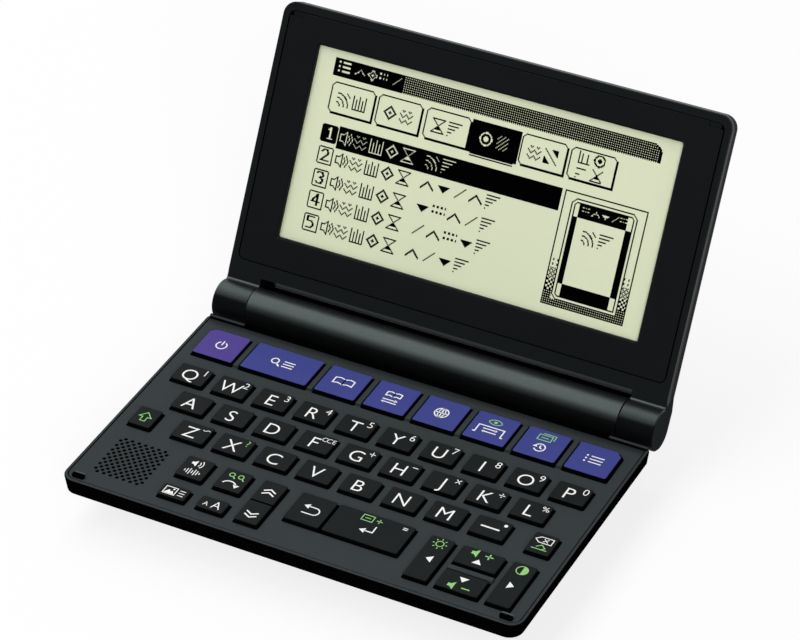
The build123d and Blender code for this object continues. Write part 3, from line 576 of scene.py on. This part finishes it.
# Letter keys: a letter left of the middle and a smaller sign in the right rear corner
LETTER_HEIGHT = 3.55
DIGIT_HEIGHT = 2.0
FINE = 0.22
SIGN_X, SIGN_Y = 2.75, 1.55
sign_shapes = {
    "g": [
        ribbon([(SIGN_X - 0.7, SIGN_Y), (SIGN_X + 0.7, SIGN_Y)], FINE),
        ribbon([(SIGN_X, SIGN_Y - 0.75), (SIGN_X, SIGN_Y + 0.75)], FINE),
    ],
    "h": [ribbon([(SIGN_X - 0.65, SIGN_Y), (SIGN_X + 0.65, SIGN_Y)], FINE)],
    "j": [
        ribbon([(SIGN_X - 0.55, SIGN_Y - 0.6), (SIGN_X + 0.55, SIGN_Y + 0.6)], FINE),
        ribbon([(SIGN_X - 0.55, SIGN_Y + 0.6), (SIGN_X + 0.55, SIGN_Y - 0.6)], FINE),
    ],
    "k": [
        ribbon([(SIGN_X - 0.7, SIGN_Y), (SIGN_X + 0.7, SIGN_Y)], FINE),
        disc(SIGN_X, SIGN_Y + 0.55, 0.17), disc(SIGN_X, SIGN_Y - 0.55, 0.17),
    ],
    "l": [
        ribbon([(SIGN_X - 0.45, SIGN_Y - 0.75), (SIGN_X + 0.45, SIGN_Y + 0.75)], 0.18),
        ring(SIGN_X - 0.5, SIGN_Y + 0.4, 0.28, 0.17), ring(SIGN_X + 0.5, SIGN_Y - 0.4, 0.28, 0.17),
    ],
    "f": [lettering("C", 1.35, 1.35, 1.55), disc(2.1, 1.7, 0.13), lettering("CE", 1.35, 3.0, 1.55)],
    "z": [
        ribbon([(SIGN_X + 0.85 * t, SIGN_Y + 0.2 * math.sin(3.1 * t)) for t in np.linspace(-1, 1, 15)], 0.17),
    ],
}
for letter, digit in zip("qwertyuiop", "1234567890"):
    sign_shapes[letter] = [lettering(digit, DIGIT_HEIGHT, SIGN_X + 0.05, SIGN_Y)]
for letter in "qwertyuiopasdfghjklzxcvbnm":
    green = [lettering("?", 1.9, SIGN_X, SIGN_Y)] if letter == "x" else []
    white = [lettering(letter.upper(), LETTER_HEIGHT, -0.3, -0.3)] + sign_shapes.get(letter, [])
    print_key(f"key_{letter}", white, green)
print_key("key_dash", [ribbon([(-2.3, -0.2), (2.1, -0.2)], 0.44), disc(2.75, 1.75, 0.43)])

# Function keys: plain signs for what each does
LINE = 0.3
print_key("power_key", [ribbon(arc(0, -0.15, 1.25, 120, 420, 30), LINE), ribbon([(0, -0.1), (0, 1.5)], LINE)])
print_key(
    "search_key",
    magnifier(-1.9, 0.3, 1.15, LINE) + [ribbon([(0.2, y), (3.0, y)], LINE) for y in (0.9, 0, -0.9)],
)
print_key("book_key_1", open_book(0, -0.2, 2.4, 1.9, LINE))
print_key(
    "book_key_2",
    open_book(0, 0.7, 1.8, 1.3, LINE) + arrow((-1.9, -1.0), (1.9, -1.0), 0.75, LINE)
    + arrow((1.9, -1.9), (-1.9, -1.9), 0.75, LINE),
)
print_key(
    "book_key_3",
    [ring(0, 0, 1.6, LINE), ribbon([(-1.6, 0), (1.6, 0)], LINE), ribbon([(0, -1.6), (0, 1.6)], LINE),
     ribbon(arc(0, 0, 1, 0, 345) * np.array([0.75, 1.6]), LINE * 0.8, closed=True)],
)
print_key(
    "switch_key",
    [ribbon([(-3.7, -2.3), (-3.1, -2.3), (-3.1, 0.3), (3.1, 0.3), (3.1, -2.3), (3.7, -2.3)], LINE)]
    + arrow((-1.8, -0.6), (1.8, -0.6), 0.7, LINE) + arrow((1.8, -1.6), (-1.8, -1.6), 0.7, LINE),
    [ribbon(arc(0, 1.0, 2.0, 35, 145), FINE), ribbon(arc(0, 3.3, 2.0, 215, 325), FINE), disc(0, 2.15, 0.4)],
)
print_key(
    "history_key",
    [ribbon(arc(0, -1.35, 1.25, -150, 150), LINE), ribbon([(0, -0.6), (0, -1.35), (0.6, -1.7)], LINE),
     patch([(-1.75, -1.35), (-0.55, -1.35), (-1.15, -0.6)])],
    [ribbon([(-1.9, 1.2), (1.3, 1.2), (1.3, 3.0), (-1.9, 3.0)], FINE, closed=True),
     ribbon([(-1.2, 3.5), (1.9, 3.5), (1.9, 1.8)], FINE), ribbon([(-1.2, 2.1), (0.6, 2.1)], FINE)],
)
print_key(
    "menu_key",
    [ribbon([(-0.9, y), (2.2, y)], LINE) for y in (1.0, 0, -1.0)]
    + [disc(-1.8, y, 0.24) for y in (1.0, 0, -1.0)],
)

# Side keys and the front block
shift_sign = [(-0.6, -1.5), (0.6, -1.5), (0.6, -0.1), (1.5, -0.1), (0, 1.5), (-1.5, -0.1), (-0.6, -0.1)]
print_key("shift_key", (), [ribbon(shift_sign, FINE, closed=True)])
print_key(
    "clear_key",
    [ribbon([(-2.0, 1.1), (-1.0, 2.0), (1.9, 2.0), (1.9, 0.2), (-1.0, 0.2)], FINE, closed=True),
     ribbon([(-0.15, 0.6), (0.95, 1.6)], FINE), ribbon([(-0.15, 1.6), (0.95, 0.6)], FINE)],
    [ribbon([(-1.8, -1.9), (1.8, -1.9)], FINE),
     ribbon([(-0.9, -1.3), (0.2, -0.4), (1.2, -1.3), (0.6, -1.8)], FINE)],
)
sound_bars = {-1.8: 0.3, -1.2: 0.7, -0.6: 1.0, 0: 0.5, 0.6: 1.0, 1.2: 0.7, 1.8: 0.3}
print_key(
    "voice_key",
    [horn(-0.5, 1.45, 1.05), ribbon(arc(-0.4, 1.45, 0.95, -45, 45, 10), FINE),
     ribbon(arc(-0.4, 1.45, 1.6, -45, 45, 12), FINE)]
    + [ribbon([(x, -1.4 - half), (x, -1.4 + half)], FINE) for x, half in sound_bars.items()],
)
print_key(
    "jump_key",
    [ribbon(arc(-0.2, -2.0, 1.5, 20, 160, 16) * np.array([1.15, 1.0]), LINE),
     patch([(0.65, -1.25), (2.2, -1.25), (1.45, -2.35)])],
    magnifier(-1.1, 1.6, 0.8, FINE) + magnifier(1.1, 1.6, 0.8, FINE),
)
print_key(
    "figure_key",
    [ribbon([(-2.4, -1.15), (0.4, -1.15), (0.4, 1.15), (-2.4, 1.15)], FINE, closed=True),
     patch([(-2.2, -0.95), (-1.3, 0.35), (-0.75, -0.35), (-0.4, 0.1), (0.2, -0.95)]), disc(-0.35, 0.65, 0.25)]
    + [ribbon([(1.1, y), (2.5, y)], FINE) for y in (0.8, 0, -0.8)],
)
print_key("text_size_key", [lettering("A", 1.3, -1.5, -0.35), lettering("A", 2.3, 1.0, 0)])
print_key(
    "page_key",
    [chevron(0, 3.1 + shift, 1.45, 0.8, 0.36) for shift in (0, 1.05)]
    + [chevron(0, -4.0 - shift, 1.45, -0.8, 0.36) for shift in (0, 1.05)],
)
print_key(
    "back_key",
    [ribbon([(-0.8, 0.9), (1.0, 0.9)], LINE), ribbon(arc(1.0, -0.25, 1.15, 90, -90, 14), LINE),
     ribbon([(1.0, -1.4), (-1.6, -1.4)], LINE), patch([(-0.7, 0.1), (-0.7, 1.7), (-2.0, 0.9)])],
)
print_key(
    "enter_key",
    [ribbon([(1.3, 1.2), (1.3, -0.9), (-0.7, -0.9)], LINE), patch([(-0.5, -0.1), (-0.5, -1.7), (-1.9, -0.9)])]
    + [ribbon([(6.6, y), (7.7, y)], FINE) for y in (3.0, 3.5)],
    [ribbon([(-3.0, 2.1), (-0.4, 2.1), (-0.4, 3.9), (-3.0, 3.9)], FINE, closed=True),
     ribbon([(-2.4, 3.0), (-1.0, 3.0)], FINE), ribbon([(0.4, 3.0), (1.8, 3.0)], FINE),
     ribbon([(1.1, 2.3), (1.1, 3.7)], FINE)],
)
SIDE_SIGN_Y = 4.9
sun = [ring(0, SIDE_SIGN_Y, 0.85, FINE)]
for turn in np.radians(range(0, 360, 45)):
    ray = np.array([math.cos(turn), math.sin(turn)])
    sun.append(ribbon([1.25 * ray + [0, SIDE_SIGN_Y], 1.7 * ray + [0, SIDE_SIGN_Y]], FINE))
half_moon = [ring(0, SIDE_SIGN_Y, 1.3, FINE), patch(arc(0, SIDE_SIGN_Y, 1.2, -90, 90, 14))]
print_key("left_key", [patch([(0.72, -1.35), (0.72, 0.8), (-0.72, -0.25)])], sun)
print_key("right_key", [patch([(-0.72, -1.5), (-0.72, 0.6), (0.72, -0.45)])], half_moon)
for key, side in (("up_key", 1), ("down_key", -1)):
    white = [patch([(-1.1, -1.6 * side), (1.1, -1.6 * side), (0, -0.15 * side)])]
    green = [horn(-1.2, 1.5 * side, 1.3), ribbon([(0.7, 1.5 * side), (2.6, 1.5 * side)], LINE)]
    if side > 0:
        green.append(ribbon([(1.65, 0.6), (1.65, 2.4)], LINE))
    print_key(key, white, green)


# ---------------------------------------------------------------- display

COLUMNS, ROWS = 344, 176
DOT_SPREAD = 0.12         # dark dots bleed a little past their cell, as a share of the pitch
dots = np.zeros((ROWS, COLUMNS), bool)
column_of, row_of = np.meshgrid(np.arange(COLUMNS) - COLUMNS // 2, np.arange(ROWS))

# Plain tiles of thirteen by thirteen dots stand where words would be. Each is true where the dot in column c,
# row r is dark.
tiles = {
    "diamond": lambda c, r: (
        (np.abs(np.abs(c - 6) + np.abs(r - 6) - 5.5) < 1) | (np.abs(c - 6) + np.abs(r - 6) < 2)
    ),
    "waves": lambda c, r: ((r - np.abs(c % 6 - 3)) % 5 == 0) & (r < 12),
    "glass": lambda c, r: (
        (np.abs(c - 6) == np.abs(r - 6)) | (r == 0) | (r == 12)
        | ((np.abs(c - 6) < 6 - r) & (r > 2) & (r < 6))
    ),
    "comb": lambda c, r: ((c % 3 == 0) & (r < 10)) | (r == 0) | ((c % 6 == 0) & (r < 13)),
    "steps": lambda c, r: (r % 3 == 0) & (c <= r),
    "fan": lambda c, r: np.abs(np.hypot(c, r) % 4 - 3) < 0.55,
    "target": lambda c, r: (np.abs(np.hypot(c - 6, r - 6) - 5.6) < 0.6) | (np.hypot(c - 6, r - 6) < 2.4),
    "corner": lambda c, r: (c + r < 6) | (c + r > 18) | (np.abs(c + r - 12) < 1),
    "hatch": lambda c, r: ((c - r) % 4 == 0) & (c > 0) & (c < 12),
    "drop": lambda c, r: (np.abs(c - 6) + 2 < r) & (r < 9),
    "dots": lambda c, r: (c % 4 < 2) & (r % 5 < 2) & (r > 1),
    "peak": lambda c, r: (np.abs(c - 6) + r == 9) | (np.abs(c - 6) + r == 8),
    "slope": lambda c, r: (np.abs(c - r) < 1) & (c > 1) & (c < 12),
}
# Digits in a cell of eight by eleven dots
digit_strokes = {
    1: [(2, 8, 4, 10), (4, 10, 4, 0), (2, 0, 6, 0)],
    2: [(0, 8, 2, 10), (2, 10, 5, 10), (5, 10, 6, 8), (6, 8, 6, 6), (6, 6, 0, 0), (0, 0, 7, 0)],
    3: [(0, 9, 2, 10), (2, 10, 5, 10), (5, 10, 6, 8), (6, 7, 3, 5), (3, 5, 6, 4), (6, 4, 6, 2), (6, 2, 5, 0),
        (5, 0, 2, 0), (2, 0, 0, 1)],
    4: [(5, 0, 5, 10), (5, 10, 0, 3), (0, 3, 7, 3)],
    5: [(6, 10, 0, 10), (0, 10, 0, 6), (0, 6, 4, 6), (4, 6, 6, 4), (6, 4, 6, 2), (6, 2, 4, 0), (4, 0, 0, 0)],
}


def fill(left, right, low, high, ink=True):
    """Sets a block of dots; columns count from the display's middle, rows from its bottom."""
    dots[low:high, left + COLUMNS // 2:right + COLUMNS // 2] = ink


def strokes(lines, x, y, ink=True, weight=1):
    """Draws straight lines of dots: each is sampled once per dot along its longer side."""
    for x_start, y_start, x_end, y_end in lines:
        steps = max(abs(x_end - x_start), abs(y_end - y_start)) + 1
        across = np.rint(x + np.linspace(x_start, x_end, steps)).astype(int) + COLUMNS // 2
        up = np.rint(y + np.linspace(y_start, y_end, steps)).astype(int)
        for shift in range(weight):
            dots[up, across + shift] = ink


def screen(left, right, low, high, pattern):
    """Sets the dots of a block where a pattern of column and row is true."""
    block = (slice(low, high), slice(left + COLUMNS // 2, right + COLUMNS // 2))
    dots[block] = pattern(column_of[block], row_of[block])


def cut_box(left, right, low, high, corner, heavy):
    """An outline with cut corners, heavier on its right and lower sides."""
    lines = [
        (left + corner, high, right - corner, high), (left, low + corner, left, high - corner),
        (left, high - corner, left + corner, high), (right - corner, high, right, high - corner),
        (left, low + corner, left + corner, low),
    ]
    for step in range(heavy):
        lines.append((left + corner, low - step, right, low - step))
        lines.append((right + step, low - heavy + 1, right + step, high - corner))
    strokes(lines, 0, 0)


def tile_row(names, x, y, pitch, ink=True, size=13):
    """A row of tiles, each drawn a given number of dots wide and high."""
    columns, rows = np.meshgrid(np.arange(size), np.arange(size))
    for place, name in enumerate(names.split()):
        left = x + place * pitch + COLUMNS // 2
        shape = tiles[name](columns * 13 // size, rows * 13 // size)
        dots[y:y + size, left:left + size][shape] = ink


def loudspeaker(x, y, ink):
    """A small sounding loudspeaker, twelve dots wide."""
    box = [(0, 4, 0, 10), (0, 10, 3, 10), (0, 4, 3, 4), (3, 10, 6, 13), (3, 4, 6, 1), (6, 1, 6, 13)]
    sound = [(8, 4, 9, 7), (9, 7, 8, 10), (10, 2, 12, 7), (12, 7, 10, 12)]
    strokes(box + sound, x, y, ink)


def open_grid(column, row):
    """Dark ground with a light dot at every second column and row."""
    return (column % 2 == 1) | (row % 2 == 1)


# title bar: a list sign and four tiles on its solid part, a rounded corner at its right end
EDGE = 160                # the drawing's left and right edges, counted from the middle
BAR_LOW, BAR_HIGH = 154, 170
BAR_SPLIT = -91           # solid to its left, screened to its right
fill(-EDGE, BAR_SPLIT, BAR_LOW, BAR_HIGH)
for step in range(3):
    fill(-156, -154, 158 + 4 * step, 160 + 4 * step, False)
    fill(-152, -144, 158 + 4 * step, 160 + 4 * step, False)
tile_row("peak diamond dots slope", -139, 157, 12, False, 10)
screen(BAR_SPLIT, EDGE, BAR_LOW, BAR_HIGH, open_grid)
for step, gap in enumerate((7, 5, 3, 2, 1, 1)):
    fill(EDGE - gap, EDGE, BAR_HIGH - 1 - step, BAR_HIGH - step, False)
    fill(EDGE - 2 - gap, EDGE - gap, BAR_HIGH - 1 - step, BAR_HIGH - step)
fill(EDGE - 2, EDGE, BAR_LOW, BAR_LOW + 10)

# six tabs, the fourth picked out
TAB_PITCH = 47.3
TAB_WIDTH = 43
TAB_LOW, TAB_HIGH = 121, 148
for tab in range(6):
    left = round(2 - EDGE + TAB_PITCH * tab)
    right = left + TAB_WIDTH
    pair = ("fan comb", "diamond waves", "glass steps", "target hatch", "waves corner", "comb target")[tab]
    cut_box(left, right, TAB_LOW, TAB_HIGH, 3, 2)
    if tab == 3:
        fill(left - 2, right + 3, TAB_LOW - 1, TAB_HIGH + 1)
        fill(left + 1, right, TAB_LOW - 4, TAB_LOW - 1)
        fill(left, right + 1, TAB_LOW - 3, TAB_LOW - 2, False)
    if tab == 5:
        tile_row(pair, left + 8, 136, 14, size=11)
        tile_row("steps glass", left + 8, 123, 14, size=11)
    else:
        tile_row(pair, left + 7, 128, 16, tab != 3)

# five rows of the list, the first picked out
ROW_PITCH = 20.4
FIRST_ROW = 94            # foot of the first row
fill(-142, 78, FIRST_ROW - 3, FIRST_ROW + 17)
for row in range(5):
    floor = round(FIRST_ROW - ROW_PITCH * row)
    if row == 0:
        fill(-158, -144, floor, floor + 16)
        strokes([(-159, floor + 1, -159, floor + 14), (-144, floor + 1, -144, floor + 14)], 0, 0)
    else:
        cut_box(-158, -144, floor, floor + 15, 1, 1)
    strokes(digit_strokes[row + 1], -155, floor + 3, row > 0, weight=2)
    loudspeaker(-140, floor, row > 0)
    tile_row("waves comb diamond glass", -126, floor + 1, 16, row > 0)
    tail = (
        "fan steps", "peak drop slope peak steps", "drop dots peak slope steps", "slope peak dots drop steps",
        "peak slope drop steps",
    )[row]
    tile_row(tail, -54, floor + 1, 16, row > 0)

# the panel at the right: a screened frame round a book's front
cut_box(81, 159, 9, 110, 0, 1)
screen(82, 159, 10, 22, open_grid)
screen(82, 94, 22, 32, lambda column, row: (column // 2 + row // 2) % 2 == 0)
screen(147, 159, 22, 32, lambda column, row: (column // 2 + row // 2) % 2 == 0)
for left, right in ((82, 90), (150, 159)):
    screen(left, right, 32, 42, lambda column, row: ((column + row) % 4 == 0) | ((column - row) % 4 == 0))
    screen(left, right, 42, 50, lambda column, row: (column % 4 == 0) & (row % 4 < 2))
fill(89, 152, 15, 106, False)
cut_box(89, 151, 15, 105, 4, 1)
cut_box(92, 148, 18, 102, 2, 1)
fill(97, 143, 90, 102)
fill(92, 97, 30, 90)
fill(143, 148, 30, 90)
fill(97, 143, 19, 30)
tile_row("dots peak drop slope dots", 100, 92, 9, False, 8)
tile_row("fan steps", 105, 68, 16)


def dot_squares(grid):
    """Corners and faces of the dark dots, each run along a row joined with equal runs in the rows above."""
    edges = np.diff(np.pad(grid, ((0, 0), (1, 1))).astype(np.int8), axis=1)
    open_runs, blocks = {}, []
    for row in range(grid.shape[0] + 1):
        runs = set()
        if row < grid.shape[0]:
            starts = np.flatnonzero(edges[row] == 1)
            ends = np.flatnonzero(edges[row] == -1)
            runs = set(zip(starts.tolist(), ends.tolist()))
        for run in [r for r in open_runs if r not in runs]:
            blocks.append((*run, open_runs.pop(run), row))
        for run in runs:
            open_runs.setdefault(run, row)
    table = np.array(blocks, float)
    left, right, low, high = (table + np.array([-DOT_SPREAD, DOT_SPREAD, -DOT_SPREAD, DOT_SPREAD])).T
    corners = np.stack([left, low, right, low, right, high, left, high], 1).reshape(-1, 2)
    faces = np.arange(len(corners)).reshape(-1, 4)
    return corners, [tuple(face) for face in faces.tolist()]


lid_up = np.array(DIRECTIONS["up_lid"])
lid_out = -np.array(DIRECTIONS["behind_lid"])
hinge = np.array([0.0, HINGE_Y, HINGE_Z])
corners, faces = dot_squares(dots)
corners = (corners - np.array([COLUMNS / 2, 0])) * DOT_PITCH
print_on(
    "display_dots", "lid", [(lcd_dark, [(corners, faces)])],
    hinge + WINDOW_BOTTOM * lid_up + GLASS_DEPTH * lid_out, EAST, lid_up, lid_out, DOT_LIFT,
)


# ---------------------------------------------------------------- floor, light and camera

FLOOR_HALF = 4.0
FLOOR_LEVEL = -0.0003
FLOOR_GLOW = 0.8          # share of plain white in what the camera sees; the rest takes the shadow
WORLD_LIGHT = 0.2         # how strongly the white surroundings light dull surfaces


def shown_ray(tree):
    """1 for a ray that shows the background itself: from the camera, off a gloss or through glass."""
    rays = add_node(tree, "ShaderNodeLightPath")
    shown = rays.outputs["Is Camera Ray"]
    for kind in ("Is Glossy Ray", "Is Transmission Ray"):
        shown = add_node(
            tree, "ShaderNodeMath", {"operation": "MAXIMUM"}, {}, {0: shown, 1: rays.outputs[kind]},
        ).outputs[0]
    return shown


def floor_material():
    """White studio floor: it takes the object's shadow, and shows white where nothing shades it."""
    made = bpy.data.materials.new("white_studio_floor")
    made.use_nodes = True
    tree = made.node_tree
    tree.nodes.clear()
    share = add_node(tree, "ShaderNodeMath", {"operation": "MULTIPLY"}, {1: FLOOR_GLOW}, {0: shown_ray(tree)})
    dull = add_node(tree, "ShaderNodeBsdfDiffuse", {}, {"Color": linear("#F6F6F6")})
    glow = add_node(tree, "ShaderNodeEmission", {}, {"Color": (1, 1, 1, 1), "Strength": 1.0})
    both = add_node(
        tree, "ShaderNodeMixShader", {}, {}, {0: share.outputs[0], 1: dull.outputs[0], 2: glow.outputs[0]},
    )
    add_node(tree, "ShaderNodeOutputMaterial", {}, {}, {"Surface": both.outputs[0]})
    return made


floor_mesh = bpy.data.meshes.new("studio_floor")
floor_mesh.from_pydata(
    [
        (-FLOOR_HALF, -FLOOR_HALF, FLOOR_LEVEL), (FLOOR_HALF, -FLOOR_HALF, FLOOR_LEVEL),
        (FLOOR_HALF, FLOOR_HALF, FLOOR_LEVEL), (-FLOOR_HALF, FLOOR_HALF, FLOOR_LEVEL),
    ],
    [], [(0, 1, 2, 3)],
)
floor_mesh.materials.append(floor_material())
studio_floor = bpy.data.objects.new("studio_floor", floor_mesh)
bpy.context.scene.collection.objects.link(studio_floor)

world = bpy.data.worlds.new("studio")
bpy.context.scene.world = world
world.use_nodes = True
tree = world.node_tree
tree.nodes.clear()
soft = add_node(tree, "ShaderNodeBackground", {}, {"Color": (1, 1, 1, 1), "Strength": WORLD_LIGHT})
white = add_node(tree, "ShaderNodeBackground", {}, {"Color": (1, 1, 1, 1), "Strength": 1.0})
backdrop = add_node(
    tree, "ShaderNodeMixShader", {}, {}, {0: shown_ray(tree), 1: soft.outputs[0], 2: white.outputs[0]},
)
add_node(tree, "ShaderNodeOutputWorld", {}, {}, {"Surface": backdrop.outputs[0]})


def softbox(name, place, aim, width, height, power):
    """A rectangular lamp at a place, turned towards a point."""
    lamp = bpy.data.lights.new(name, "AREA")
    lamp.shape = "RECTANGLE"
    lamp.size = width
    lamp.size_y = height
    lamp.energy = power
    holder = bpy.data.objects.new(name, lamp)
    bpy.context.scene.collection.objects.link(holder)
    direction = np.array(aim, float) - np.array(place, float)
    holder.location = place
    holder.rotation_euler = Vector(direction).to_track_quat("-Z", "Y").to_euler()


softbox("overhead_box", (-0.72, 0.19, 1.6), (-0.72, 0.1899, 0), width=1.12, height=3.4, power=35.0)
softbox("front_box", (1.0, -1.35, 0.9), (0, 0.02, 0.03), width=0.85, height=0.85, power=17.5)

camera_data = bpy.data.cameras.new("camera")
camera_data.sensor_width = 36.0
camera_data.lens = 164.42
camera_data.clip_start = 0.01
camera = bpy.data.objects.new("camera", camera_data)
camera.location = (0.305626, -0.540459, 0.518244)
camera.rotation_euler = [math.radians(turn) for turn in (52.7993, 1.32576, 27.7311)]
bpy.context.scene.collection.objects.link(camera)
bpy.context.scene.camera = camera
bpy.context.scene.view_settings.view_transform = "Standard"
